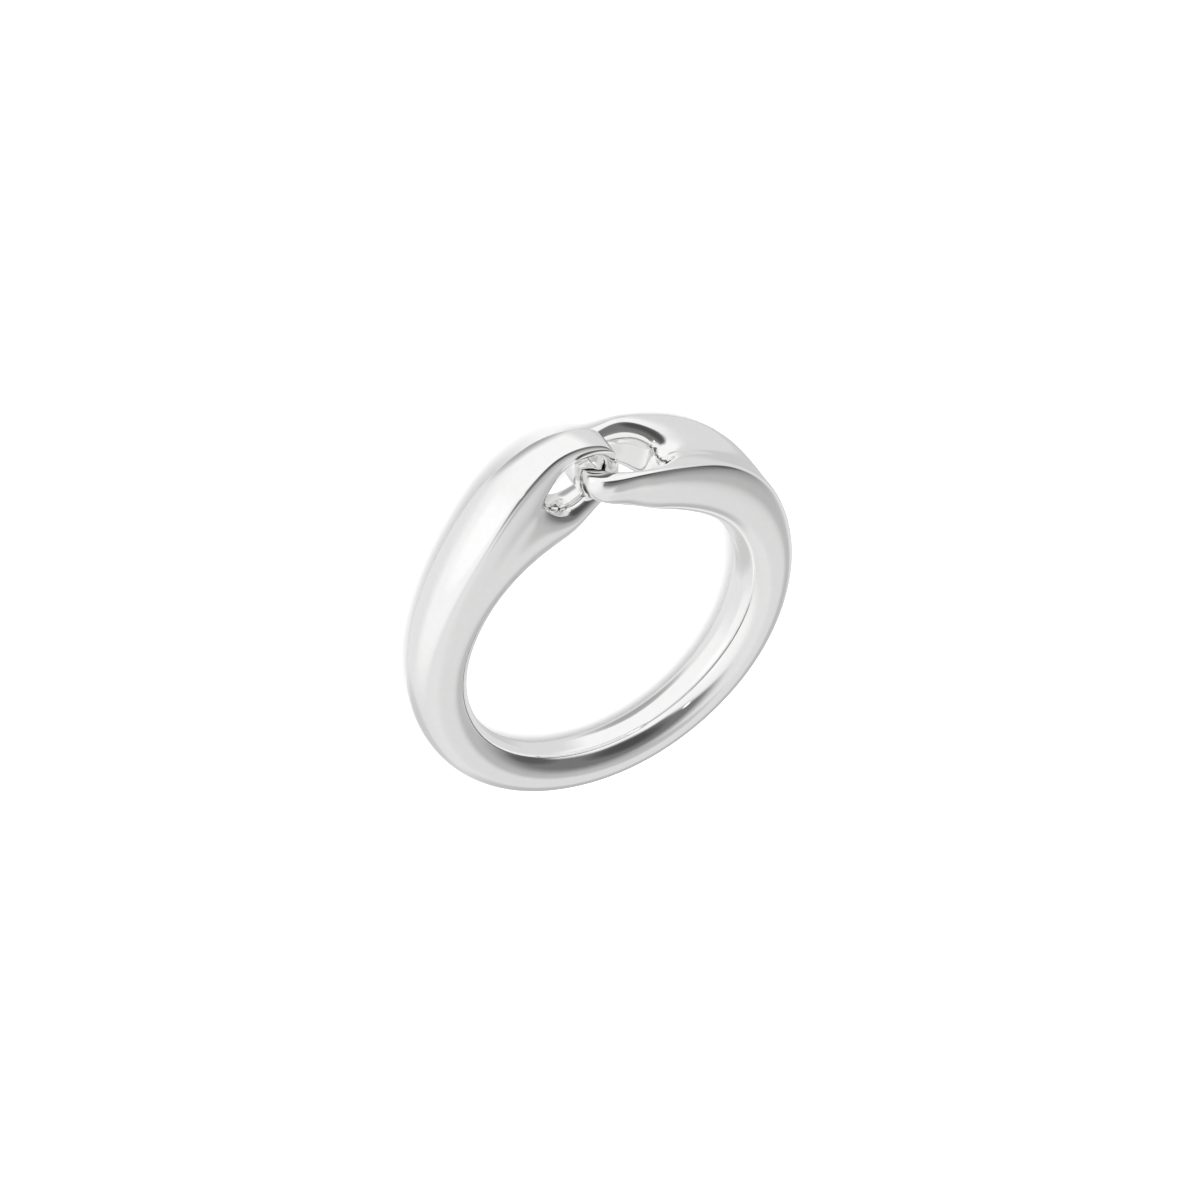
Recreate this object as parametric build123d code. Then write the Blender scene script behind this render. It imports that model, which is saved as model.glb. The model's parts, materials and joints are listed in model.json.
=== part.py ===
from build123d import *
from math import cos, pi, radians, sin
import os

import numpy as np

# Silver ring whose two ends each open into an eye, one eye through the other like two links.
# Lengths are in millimetres. The ring is worked out upright about its own axis first:
# X to the wearer's right, Y towards the eyes, Z along the finger, and laid on its side at the end.

# driving sizes
FINGER_HOLE_DIAMETER = 17.2
BAND_THICKNESS = 2.65
BAND_WIDTH = 2.84
UPRIGHT_EYE_RISE = 6.28
UPRIGHT_EYE_WIDTH = 3.43
FLAT_EYE_RISE = 4.2
FLAT_EYE_WIDTH = 5.36
# depth of the smooth inside face that the finger hole's cutter takes away
LAND_STOCK = 0.06

# form of the plain band: exponent of its rounded section
ROUNDNESS = 2.2
ROUND_POINTS = 16
# a smooth surface runs inside its corner points, so the section's corners stand this much further out
SECTION_SWELL = 6 / (4 + 2 * cos(2 * pi / ROUND_POINTS))
# halvings of the corner mesh on the way to the smooth surface
SMOOTH_STEPS = 2

FINGER_HOLE_RADIUS = FINGER_HOLE_DIAMETER / 2
BAND_HALF = BAND_WIDTH / 2 * SECTION_SWELL
UPRIGHT_HALF = UPRIGHT_EYE_WIDTH / 2 * SECTION_SWELL
FLAT_HALF = FLAT_EYE_WIDTH / 2 * SECTION_SWELL


def table(columns, text):
    """a list of rows, each a dictionary with the named columns"""
    names = columns.split()
    return [dict(zip(names, map(float, line.split()))) for line in text.strip().splitlines()]


# Rows run from an eye's tip down its arm; angle is counted in degrees from the top of the ring.
# grow and spread lead the row's height and half width from the band's (0) to the eye's (1);
# the other columns are shares of that height above the finger hole, and of that half width (_w).
# crease is the sharpness of the eye's outer edge.
UPRIGHT_ROWS = table(
    "angle grow spread edge  edge_w lip   lip_w mid   mid_w sill  sill_w rim   rim_w floor crease", """
      2    0.82  1.0   0.98  0.48   0.83  0.48  0     0     0.38  0.52   0.26  0.48  0.23  0.9
      7    0.96  1.0   0.98  0.51   0.82  0.51  0     0     0.30  0.63   0.15  0.56  0.11  0.9
     12    1.0   1.0   0.98  0.58   0.78  0.57  0     0     0.25  0.73   0.08  0.61  0.04  0.9
     16    0.99  1.0   0.965 0.69   0.68  0.67  0.55  0.60  0.28  0.81   0.055 0.65  0     0.9
     26    0.86  1.0   0.93  0.90   0.685 0.84  0.50  0.69  0.28  0.88   0.06  0.66  0     0.8
     38    0.57  1.0   0.90  0.99   0.68  0.94  0.485 0.84  0.28  0.90   0.075 0.65  0     0.65
     54    0.35  0.7   0.87  0.965  0.67  1.0   0.46  0.965 0.27  0.92   0.09  0.67  0     0.4
     75    0.21  0.45  0.855 0.86   0.665 1.0   0.455 1.0   0.265 0.92   0.10  0.68  0     0.1
""")
FLAT_ROWS = table(
    "angle grow spread mid  lip  lip_w edge  edge_w cheek cheek_w jaw  jaw_w rim   rim_w sill  sill_w floor crease", """
      3    1.0  0.77   0    0.97 0.74  0.935 0.92   0.885 0.98    0.60 1.0   0.345 0.82  0.64  0.66   0     1.3
      8    0.94 0.945  0    0.98 0.78  0.97  0.91   0.88  0.985   0.54 0.98  0.245 0.78  0.50  0.68   0     1.4
     13    0.87 0.99   0    0.99 0.66  1.0   0.895  0.89  0.98    0.45 0.97  0.18  0.77  0.34  0.57   0     1.5
     18    0.81 0.99   0.77 1.0  0.38  1.01  0.88   0.88  0.97    0.41 0.97  0.16  0.75  0.13  0.31   0.10  1.5
     28    0.82 0.96   0.84 0.97 0.39  1.02  0.83   0.87  0.95    0.36 0.97  0.105 0.72  0.055 0.36   0.045 1.3
     40    0.73 0.85   0.91 0.98 0.39  1.02  0.76   0.85  0.93    0.32 0.97  0.09  0.70  0.035 0.37   0     0.9
     56    0.53 0.68   0.99 1.0  0.39  0.97  0.73   0.80  0.93    0.30 0.97  0.09  0.69  0.02  0.38   0     0.5
     77    0.22 0.48   1.0  0.97 0.41  0.89  0.77   0.73  0.97    0.29 0.96  0.10  0.69  0.02  0.385  0     0.1
""")
# The plain band between the arms, counted through the upright eye's side: shares of its own two sizes.
BAND_ROWS = table("angle thick wide", """
     98    1.155 1.055
    125    1.045 1.01
    152    1.01  1.0
    180    1.0   1.0
    206    0.99  1.02
    233    0.985 1.11
    259    1.0   1.27
""")

# where the shoulder points stand between the middle of a face and its edge, and across it
OUTER_SHOULDER = (0.3, 0.55)
INNER_SHOULDER = (0.22, 0.57)
# fullness of the flat eye's side, as a share of its half width
SIDE_BELLY = 0.022
# stations of the eyes' holes, counted from each tip
HOLE_STATIONS = 3
# degrees, counted on round the ring, by which the far end of each hole stands beyond its last station
UPRIGHT_HOLE_POINT = 4.5
FLAT_HOLE_POINT = -0.8

# The rounded tips. turns are the degrees round the tip at which its corners stand; lengths are shares of
# the upright eye's rise, widths of each eye's own half width. The flat tip lies through the upright hole.
UPRIGHT_TIP = dict(turns=(52, 26, 0, -26, -52), crown=0.008,
                   start=0.08, reach=0.178, centre=0.533, half=0.326, width=0.51, round_edge=0.6,
                   hole_reach=0.067, hole_centre=0.541, hole_half=0.263, hole_width=0.466)
FLAT_TIP = dict(turns=(70, 41, 0, -41, -70), crown=0.06,
                start=0.048, reach=0.245, centre=0.525, half=0.134, width=0.84, round_edge=0.6,
                hole_reach=0.072, hole_out=0.95, hole_in=1.13, hole_width=0.66)
TIP_ACROSS = (-1, -0.6, 0, 0.6, 1)
HOLE_TURN = 48
# how far the middle of a hole's wall bulges into the hole, and that of the upright eye's inner strand,
# as shares of the upright eye's rise
WALL_BULGE = 0.052
STRAND_BULGE = 0.085


def polar(angle, radius, z):
    """a point at an angle from the top of the ring, towards the upright eye's side"""
    turn = radians(angle)
    return (-radius * sin(turn), radius * cos(turn), z)


def mirrored(half):
    """the nine points of the front half of a section and the seven that mirror them"""
    return half + [(rise, -z) for rise, z in half[-2:0:-1]]


def upright_section(row):
    """(height above the finger hole, z) round the section, from the middle of the outer face"""
    rise = BAND_THICKNESS + (UPRIGHT_EYE_RISE - BAND_THICKNESS) * row["grow"]
    wide = BAND_HALF + (UPRIGHT_HALF - BAND_HALF) * row["spread"]
    floor = row["floor"] * rise - LAND_STOCK
    rim = row["rim"] * rise
    return mirrored([
        (rise, 0),
        (rise * (1 + (row["edge"] - 1) * OUTER_SHOULDER[0]), row["edge_w"] * wide * OUTER_SHOULDER[1]),
        (row["edge"] * rise, row["edge_w"] * wide),
        (row["lip"] * rise, row["lip_w"] * wide),
        (row["mid"] * rise, row["mid_w"] * wide),
        (row["sill"] * rise, row["sill_w"] * wide),
        (rim, row["rim_w"] * wide),
        (floor + (rim - floor) * INNER_SHOULDER[0], row["rim_w"] * wide * INNER_SHOULDER[1]),
        (floor, 0)])


def flat_section(row):
    """the same round the flat eye's arm"""
    rise = BAND_THICKNESS + (FLAT_EYE_RISE - BAND_THICKNESS) * row["grow"]
    wide = BAND_HALF + (FLAT_HALF - BAND_HALF) * row["spread"]
    belly = (row["cheek_w"] + row["jaw_w"]) / 2 + SIDE_BELLY
    return mirrored([
        (row["mid"] * rise, 0),
        (row["lip"] * rise, row["lip_w"] * wide),
        (row["edge"] * rise, row["edge_w"] * wide),
        (row["cheek"] * rise, row["cheek_w"] * wide),
        ((row["cheek"] + row["jaw"]) / 2 * rise, belly * wide),
        (row["jaw"] * rise, row["jaw_w"] * wide),
        (row["rim"] * rise, row["rim_w"] * wide),
        (row["sill"] * rise, row["sill_w"] * wide),
        (row["floor"] * rise - LAND_STOCK, 0)])


def band_section(row):
    """the same round the plain band: a rounded section between a circle and a square"""
    deep = BAND_THICKNESS * row["thick"] / 2 * SECTION_SWELL
    wide = BAND_HALF * row["wide"]
    middle = deep - LAND_STOCK
    points = []
    for j in range(ROUND_POINTS):
        turn = 2 * pi * j / ROUND_POINTS
        out = np.sign(cos(turn)) * abs(cos(turn)) ** (2 / ROUNDNESS)
        side = np.sign(sin(turn)) * abs(sin(turn)) ** (2 / ROUNDNESS)
        points.append((middle + out * deep, side * wide))
    return points


def stations():
    """(angle, section, crease) from the upright eye's tip round to the flat eye's"""
    ring = [(row["angle"], upright_section(row), row["crease"]) for row in UPRIGHT_ROWS]
    ring += [(row["angle"], band_section(row), 0) for row in BAND_ROWS]
    ring += [(360 - row["angle"], flat_section(row), row["crease"]) for row in reversed(FLAT_ROWS)]
    return ring


def swells(angles):
    """how much further out each station's corners stand, since the smooth surface runs inside them"""
    steps = np.radians(np.diff(angles))
    before = np.insert(steps, 0, steps[0])
    after = np.append(steps, steps[-1])
    return 6 / (4 + np.cos(before) + np.cos(after))


class Cage:
    """corner points, four-sided faces and the sharpness of the creased edges"""

    def __init__(self):
        self.points = []
        self.faces = []
        self.creases = {}

    def add(self, point):
        self.points.append(np.array(point, float))
        return len(self.points) - 1

    def face(self, *corners):
        self.faces.append(corners)

    def crease(self, a, b, sharpness):
        if sharpness > 0:
            self.creases[frozenset((a, b))] = sharpness

    def strip(self, near, far):
        """faces between two closed loops of the same count"""
        for k in range(len(near)):
            after = (k + 1) % len(near)
            self.face(near[k], near[after], far[after], far[k])

    def at(self, index):
        return self.points[index]


def upright_hole_end(side, front):
    """corner of the upright eye's hole at its tip: side 1 outer, 0 middle, -1 inner; front 1 or -1"""
    tip = UPRIGHT_TIP
    turn = radians(HOLE_TURN * side)
    x = (tip["hole_reach"] * cos(turn) - tip["start"]) * UPRIGHT_EYE_RISE
    y = FINGER_HOLE_RADIUS + (tip["hole_centre"] + tip["hole_half"] * sin(turn)) * UPRIGHT_EYE_RISE
    return (x, y, front * tip["hole_width"] * UPRIGHT_HALF)


def flat_hole_end(side, outer):
    """corner of the flat eye's hole at its tip: side 1 front, 0 middle, -1 back"""
    tip = FLAT_TIP
    turn = radians(HOLE_TURN * side)
    x = -(tip["start"] + tip["hole_reach"] * cos(turn)) * UPRIGHT_EYE_RISE
    off = tip["hole_out"] if outer else -tip["hole_in"]
    y = FINGER_HOLE_RADIUS + (tip["centre"] + off * tip["half"]) * UPRIGHT_EYE_RISE
    return (x, y, tip["hole_width"] * FLAT_HALF * sin(turn))


def station_point(i, j, angle, radius, z, last):
    """corner j of station i, or None where a hole leaves it out"""
    if i == 0 and j in (3, 4, 5):
        return upright_hole_end(4 - j, 1)
    if i == 0 and j in (11, 12, 13):
        return upright_hole_end(j - 12, -1)
    if i == last and j in (15, 0, 1):
        return flat_hole_end((j + 8) % 16 - 8, True)
    if i == last and j in (7, 8, 9):
        return flat_hole_end(8 - j, False)
    if j in (4, 12) and i <= HOLE_STATIONS:
        return polar(angle + UPRIGHT_HOLE_POINT, radius, z) if i == HOLE_STATIONS else None
    if j in (0, 8) and i >= last - HOLE_STATIONS:
        return polar(angle + FLAT_HOLE_POINT, radius, z) if i == last - HOLE_STATIONS else None
    return polar(angle, radius, z)


def lay_stations(cage):
    """the corner grid of the whole ring, without the tips; returns grid[station][corner]"""
    ring = stations()
    last = len(ring) - 1
    grid = []
    for i, ((angle, section, _), swell) in enumerate(zip(ring, swells([s[0] for s in ring]))):
        line = []
        for j, (rise, z) in enumerate(section):
            point = station_point(i, j, angle, (FINGER_HOLE_RADIUS + rise) * swell, z, last)
            line.append(None if point is None else cage.add(point))
        grid.append(line)
    for i in range(last):
        sharp = (ring[i][2] + ring[i + 1][2]) / 2
        for j in range(ROUND_POINTS):
            after = (j + 1) % ROUND_POINTS
            in_upright_hole = i < HOLE_STATIONS and j in (3, 4, 11, 12)
            in_flat_hole = i >= last - HOLE_STATIONS and j in (0, 15, 7, 8)
            if not in_upright_hole and not in_flat_hole:
                cage.face(grid[i][j], grid[i + 1][j], grid[i + 1][after], grid[i][after])
        for j in (2, 14):
            cage.crease(grid[i][j], grid[i + 1][j], sharp)
    return grid


def tip_points(cage, tip, flat):
    """five by five corners round a tip, from one strand to the other"""
    points = {}
    for a, degrees_round in enumerate(tip["turns"]):
        for b, across in enumerate(TIP_ACROSS):
            turn = radians(degrees_round)
            crown = tip["crown"] * (1 - across ** 2)
            reach = (tip["reach"] + crown) * cos(turn)
            if flat:
                x = -tip["start"] - reach
                up = tip["centre"] - across * tip["half"]
                z = (tip["width"] * FLAT_HALF + crown * UPRIGHT_EYE_RISE) * sin(turn)
            else:
                x = reach - tip["start"]
                up = tip["centre"] + (tip["half"] + crown) * sin(turn)
                z = across * tip["width"] * UPRIGHT_HALF
            points[a, b] = cage.add((x * UPRIGHT_EYE_RISE, FINGER_HOLE_RADIUS + up * UPRIGHT_EYE_RISE, z))
    return points


def tip_border(flat):
    """the sixteen border places of a tip's corners, in the order of a section's points"""
    border = [(0, b) for b in range(4)] + [(a, 4) for a in range(4)]
    border += [(4, b) for b in range(4, 0, -1)] + [(a, 0) for a in range(4, 0, -1)]
    if flat:
        return border[14:] + border[:14]
    return border[2:] + border[:2]


def lay_tip(cage, station, tip, flat):
    """close one end of the ring with its rounded tip"""
    points = tip_points(cage, tip, flat)
    ring = [points[place] for place in tip_border(flat)]
    for a in range(4):
        for b in range(4):
            corners = (points[a, b], points[a, b + 1], points[a + 1, b + 1], points[a + 1, b])
            cage.face(*(corners[::-1] if flat else corners))
    if flat:
        cage.strip(ring, station)
    else:
        cage.strip(station, ring)
    return ring


def crease_tips(cage, grid, upright_ring, flat_ring):
    """lead the outer edges of both eyes round their tips"""
    for j in (2, 14):
        cage.crease(grid[0][j], upright_ring[j], UPRIGHT_ROWS[0]["crease"])
        cage.crease(grid[-1][j], flat_ring[j], FLAT_ROWS[0]["crease"])
    for j in (6, 10):
        cage.crease(grid[0][j], upright_ring[j], UPRIGHT_TIP["round_edge"])
    for j in (2, 3, 4, 5, 10, 11, 12, 13):
        cage.crease(upright_ring[j], upright_ring[j + 1], UPRIGHT_TIP["round_edge"])
    for j in (14, 15, 0, 1):
        cage.crease(flat_ring[j], flat_ring[(j + 1) % ROUND_POINTS], FLAT_TIP["round_edge"])


def lay_wall(cage, near, far, push):
    """the wall of a hole through the eye; push moves the middle of the wall into the hole"""
    middle = [cage.add((cage.at(a) + cage.at(b)) / 2 + push(k)) for k, (a, b) in enumerate(zip(near, far))]
    cage.strip(near, middle)
    cage.strip(middle, far)


def hole_loop(first, side, far, other):
    """(station, corner) places round a hole: along one edge, round the far end and back"""
    along = list(range(HOLE_STATIONS + 1))
    loop = [(0, first)] + [(i, side) for i in along]
    return loop + [(HOLE_STATIONS, far)] + [(i, other) for i in reversed(along)]


def lay_holes(cage, grid):
    """the walls of both eyes' holes"""
    bulge = WALL_BULGE * UPRIGHT_EYE_RISE
    strand = STRAND_BULGE * UPRIGHT_EYE_RISE
    far_place = HOLE_STATIONS + 2

    def wall_push(k, one_side, other_side, end):
        if k in (0, far_place):
            return end if k else -end
        return one_side if k < far_place else other_side

    upright = hole_loop(4, 3, 4, 5)
    near = [grid[i][j] for i, j in upright]
    far = [grid[i][16 - j] for i, j in upright]
    lay_wall(cage, near, far, lambda k: wall_push(
        k, np.array((0, -bulge, 0)), np.array((0, strand, 0)), np.array((bulge, 0, 0))))

    flat = hole_loop(0, 1, 0, 15)
    inner = {0: 8, 1: 7, 15: 9}
    near = [grid[-1 - i][j] for i, j in flat]
    far = [grid[-1 - i][inner[j]] for i, j in flat]
    lay_wall(cage, near, far, lambda k: wall_push(
        k, np.array((0, 0, -bulge)), np.array((0, 0, bulge)), np.array((-bulge, 0, 0))))


def ring_cage():
    """the closed corner mesh of the whole ring"""
    cage = Cage()
    grid = lay_stations(cage)
    upright_ring = lay_tip(cage, grid[0], UPRIGHT_TIP, False)
    flat_ring = lay_tip(cage, grid[-1], FLAT_TIP, True)
    crease_tips(cage, grid, upright_ring, flat_ring)
    lay_holes(cage, grid)
    return np.array(cage.points), np.array(cage.faces), cage.creases


def edge_list(faces):
    """the edges, the two faces beside each, and each face's four edges"""
    numbers, ends, beside = {}, [], []
    of_face = np.zeros(faces.shape, int)
    for f, corners in enumerate(faces.tolist()):
        for k in range(4):
            key = tuple(sorted((corners[k], corners[(k + 1) % 4])))
            if key not in numbers:
                numbers[key] = len(ends)
                ends.append(key)
                beside.append([])
            beside[numbers[key]].append(f)
            of_face[f, k] = numbers[key]
    return np.array(ends), np.array(beside), of_face


def smooth_corners(points, faces, ends, middles, face_middles, sharpness):
    """new places of the old corners: smooth, or drawn to the crease that runs through them"""
    count = np.zeros((len(points), 1))
    face_sum = np.zeros_like(points)
    edge_sum = np.zeros_like(points)
    for k in range(4):
        np.add.at(count, faces[:, k], 1)
        np.add.at(face_sum, faces[:, k], face_middles)
    for k in range(2):
        np.add.at(edge_sum, ends[:, k], middles)
    smooth = (face_sum / count + 2 * edge_sum / count + (count - 3) * points) / count

    lines = np.zeros(len(points))
    beyond = np.zeros_like(points)
    weight = np.zeros(len(points))
    for e in np.nonzero(sharpness > 0)[0]:
        for here, there in (ends[e], ends[e][::-1]):
            lines[here] += 1
            beyond[here] += points[there]
            weight[here] += sharpness[e] / 2
    on_line = lines == 2
    blend = np.clip(weight, 0, 1)[on_line, None]
    creased = (6 * points + beyond)[on_line] / 8
    smooth[on_line] = (1 - blend) * smooth[on_line] + blend * creased
    return smooth


def smooth_once(points, faces, creases):
    """one Catmull-Clark halving with creases that fade as their sharpness runs out"""
    ends, beside, of_face = edge_list(faces)
    face_middles = points[faces].mean(1)
    middles = points[ends].mean(1)
    sharpness = np.array([creases.get(frozenset(pair), 0.0) for pair in ends.tolist()])
    keep = np.clip(sharpness, 0, 1)[:, None]
    edge_points = keep * middles + (1 - keep) * (middles + face_middles[beside].mean(1)) / 2
    corners = smooth_corners(points, faces, ends, middles, face_middles, sharpness)

    first_edge = len(points)
    first_face = first_edge + len(ends)
    centres = first_face + np.arange(len(faces))
    quarters = [np.stack([faces[:, k], first_edge + of_face[:, k], centres, first_edge + of_face[:, k - 1]], 1)
                for k in range(4)]
    finer = {}
    for e in np.nonzero(sharpness > 1)[0]:
        for end in ends[e].tolist():
            finer[frozenset((end, first_edge + int(e)))] = sharpness[e] - 1
    return np.vstack([corners, edge_points, face_middles]), np.vstack(quarters), finer


def triangles_of(faces):
    """two triangles for each four-sided face"""
    return np.vstack([faces[:, [0, 1, 2]], faces[:, [0, 2, 3]]])


def mass_centre(points, triangles):
    """centre of mass of the closed shape"""
    a, b, c = (points[triangles[:, k]] for k in range(3))
    volumes = np.einsum("ij,ij->i", a, np.cross(b, c))
    return (volumes[:, None] * (a + b + c) / 4).sum(0) / volumes.sum()


def holds_origin(corners):
    """whether a flat triangle has the origin inside it"""
    turns = [corners[k - 1][0] * corners[k][1] - corners[k - 1][1] * corners[k][0] for k in range(3)]
    return min(turns) >= 0 or max(turns) <= 0


def resting_normal(points, centre):
    """upward normal of the plane the ring rests on, by the three lowest points round its centre of mass"""
    flat = points[:, :2] - centre[:2]
    foot = [int(np.argmax(flat @ (cos(turn), sin(turn)))) for turn in (pi / 2, pi * 7 / 6, pi * 11 / 6)]
    while True:
        a, b, c = points[foot]
        normal = np.cross(b - a, c - a)
        normal = normal * np.sign(normal[2]) / np.linalg.norm(normal)
        heights = (points - a) @ normal
        lowest = int(np.argmin(heights))
        if heights[lowest] > -1e-9:
            return normal
        for k in range(3):
            trial = foot[:k] + [lowest] + foot[k + 1:]
            if holds_origin(flat[trial]):
                foot = trial
                break


def lean_matrix(normal):
    """the smallest turn that brings the plane's normal upright"""
    axis = np.array((normal[1], -normal[0], 0))
    cross = np.array(((0, 0, axis[1]), (0, 0, -axis[0]), (-axis[1], axis[0], 0)))
    return np.eye(3) + cross + cross @ cross / (1 + normal[2])


def faceted_solid(points, triangles):
    """one solid with a flat face for each triangle"""
    faces = []
    for corners in points[triangles]:
        outline = [Vector(*corner) for corner in corners.tolist()]
        faces.append(Face(Wire.make_polygon(outline, close=True)))
    return Solid(Shell(faces))


def make_ring():
    """the ring at its real size, lying on its side"""
    points, faces, creases = ring_cage()
    for _ in range(SMOOTH_STEPS):
        points, faces, creases = smooth_once(points, faces, creases)
    triangles = triangles_of(faces)
    lean = lean_matrix(resting_normal(points, mass_centre(points, triangles)))
    laid = points @ lean.T
    low, high = laid.min(0), laid.max(0)
    shift = -np.array(((low[0] + high[0]) / 2, (low[1] + high[1]) / 2, low[2]))
    ring = faceted_solid(laid + shift, triangles)
    cutter_plane = Plane(origin=tuple(shift), z_dir=tuple(lean[:, 2]))
    cutter = cutter_plane * Cylinder(FINGER_HOLE_RADIUS, 4 * FLAT_HALF)
    return ring - cutter, shift, lean[:, 2]


def main():
    os.makedirs("parts", exist_ok=True)
    ring, middle, axis = make_ring()
    ring.label = "ring"
    box = ring.bounding_box()
    print("size mm", box.size.X, box.size.Y, box.size.Z)
    print("volume mm3", ring.volume, "valid", ring.is_valid, "solids", len(ring.solids()))
    print("finger hole middle mm", middle, "axis", axis)
    lands = [face.area for face in ring.faces() if face.geom_type == GeomType.CYLINDER]
    print("land faces", len(lands), "width mm", sum(lands) / (2 * pi * FINGER_HOLE_RADIUS))
    export_step(ring, "parts/ring.step", write_pcurves=False)


if __name__ == "__main__":
    main()
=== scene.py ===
import bpy
import json
import numpy as np
from math import cos, pi, radians, sin
from mathutils import Matrix, Vector


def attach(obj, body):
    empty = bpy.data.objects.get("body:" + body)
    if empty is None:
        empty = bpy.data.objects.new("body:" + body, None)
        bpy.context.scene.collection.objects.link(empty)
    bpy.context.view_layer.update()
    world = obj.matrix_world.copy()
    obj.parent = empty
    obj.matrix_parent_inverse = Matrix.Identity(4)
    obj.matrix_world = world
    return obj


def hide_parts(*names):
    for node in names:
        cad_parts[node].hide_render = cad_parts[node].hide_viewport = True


# A silver ring whose two ends each open into an eye, one eye through the other like two links.
# The corner mesh of the ring is worked out in millimetres about its own axis, then laid on its side
# where the frame has it; the polished surface comes from it by subdivision.

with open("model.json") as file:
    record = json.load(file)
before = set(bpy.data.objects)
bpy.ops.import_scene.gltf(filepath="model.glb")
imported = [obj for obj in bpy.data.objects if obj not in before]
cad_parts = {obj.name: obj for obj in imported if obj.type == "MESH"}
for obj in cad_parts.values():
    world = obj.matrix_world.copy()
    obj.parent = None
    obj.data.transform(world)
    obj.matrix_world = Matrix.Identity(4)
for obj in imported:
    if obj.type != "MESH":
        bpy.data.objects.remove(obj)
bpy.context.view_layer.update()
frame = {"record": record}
BORE = next(m for m in frame["record"]["mounts"] if m["name"] == "finger_hole")
MM = 0.001

bl_info = {
    "name": "Linked-eye ring",
    "version": (1, 0, 0),
    "blender": (4, 5, 0),
    "location": "3D View > Sidebar > Ring",
    "description": "A polished ring with two linked eyes, its metal and its studio",
    "category": "Add Mesh",
}

# exponent of the band's rounded section: 2 makes an ellipse, more makes it squarer
ROUNDNESS = 2.2
# Corners round a section, counted from the middle of its outer face over its front.
ROUND_POINTS = 16
OUTER_EDGES = (2, 14)
INNER_EDGES = (6, 10)
# the corners where the upright eye's hole opens, in front and behind
FRONT_HOLE = (3, 4, 5)
BACK_HOLE = (11, 12, 13)
# and where the flat eye's hole opens, outside and inside
OUTER_HOLE = (15, 0, 1)
INNER_HOLE = (7, 8, 9)
# Corners stand further out than the smooth surface, which passes at four sixths of a corner and a
# sixth of each of its neighbours.
SECTION_SWELL = 6 / (4 + 2 * cos(2 * pi / ROUND_POINTS))


def table(text):
    """a list of rows, each a dictionary with the columns that the first line names"""
    names, *rows = [line.split() for line in text.strip().splitlines()]
    return [dict(zip(names, map(float, row))) for row in rows]


# Rows run from an eye's tip down its arm; angle is counted in degrees from the top of the ring.
# grow and spread lead the row's height and half width from the band's (0) to the eye's (1);
# the other columns are shares of that height above the finger hole, and of that half width (_w).
# crease is the sharpness of the eye's outer edge.
UPRIGHT_ROWS = table("""
    angle grow spread  edge edge_w   lip lip_w   mid mid_w  sill sill_w   rim rim_w floor crease
        2 0.82   1.0  0.98   0.48  0.83   0.48 0     0     0.38    0.52 0.26   0.48  0.23   0.9
        7 0.96   1.0  0.98   0.51  0.82   0.51 0     0     0.30    0.63 0.15   0.56  0.11   0.9
       12 1.0    1.0  0.98   0.58  0.78   0.57 0     0     0.25    0.73 0.08   0.61  0.04   0.9
       16 0.99   1.0  0.965  0.69  0.68   0.67 0.55  0.60  0.28    0.81 0.055  0.65  0      0.9
       26 0.86   1.0  0.93   0.90  0.685  0.84 0.50  0.69  0.28    0.88 0.06   0.66  0      0.8
       38 0.57   1.0  0.90   0.99  0.68   0.94 0.485 0.84  0.28    0.90 0.075  0.65  0      0.65
       54 0.35   0.7  0.87   0.965 0.67   1.0  0.46  0.965 0.27    0.92 0.09   0.67  0      0.4
       75 0.21   0.45 0.855  0.86  0.665  1.0  0.455 1.0   0.265   0.92 0.10   0.68  0      0.1
""")
FLAT_ROWS = table("""
angle grow spread  mid  lip lip_w  edge edge_w cheek cheek_w  jaw jaw_w   rim rim_w  sill sill_w floor crease
    3 1.0   0.77  0    0.97  0.74 0.935  0.92  0.885   0.98  0.60  1.0  0.345  0.82 0.64   0.66  0        1.3
    8 0.94  0.945 0    0.98  0.78 0.97   0.91  0.88    0.985 0.54  0.98 0.245  0.78 0.50   0.68  0        1.4
   13 0.87  0.99  0    0.99  0.66 1.0    0.895 0.89    0.98  0.45  0.97 0.18   0.77 0.34   0.57  0        1.5
   18 0.81  0.99  0.77 1.0   0.38 1.01   0.88  0.88    0.97  0.41  0.97 0.16   0.75 0.13   0.31  0.10     1.5
   28 0.82  0.96  0.84 0.97  0.39 1.02   0.83  0.87    0.95  0.36  0.97 0.105  0.72 0.055  0.36  0.045    1.3
   40 0.73  0.85  0.91 0.98  0.39 1.02   0.76  0.85    0.93  0.32  0.97 0.09   0.70 0.035  0.37  0        0.9
   56 0.53  0.68  0.99 1.0   0.39 0.97   0.73  0.80    0.93  0.30  0.97 0.09   0.69 0.02   0.38  0        0.5
   77 0.22  0.48  1.0  0.97  0.41 0.89   0.77  0.73    0.97  0.29  0.96 0.10   0.69 0.02   0.385 0        0.1
""")
# The plain band between the arms, counted through the upright eye's side: shares of its own two sizes.
BAND_ROWS = table("""
    angle thick  wide
       98 1.155 1.055
      125 1.045 1.01
      152 1.01  1.0
      180 1.0   1.0
      206 0.99  1.02
      233 0.985 1.11
      259 1.0   1.27
""")

# where the shoulder points stand between the middle of a face and its edge, and across it
OUTER_SHOULDER = (0.3, 0.55)
INNER_SHOULDER = (0.22, 0.57)
# how far the middle of the flat eye's side stands out past its cheek and jaw, of its half width
SIDE_BELLY = 0.022
# stations of the eyes' holes, counted from each tip, and the degrees by which the holes reach past them
HOLE_STATIONS = 3
UPRIGHT_HOLE_POINT = 4.5
FLAT_HOLE_POINT = -0.8
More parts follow.
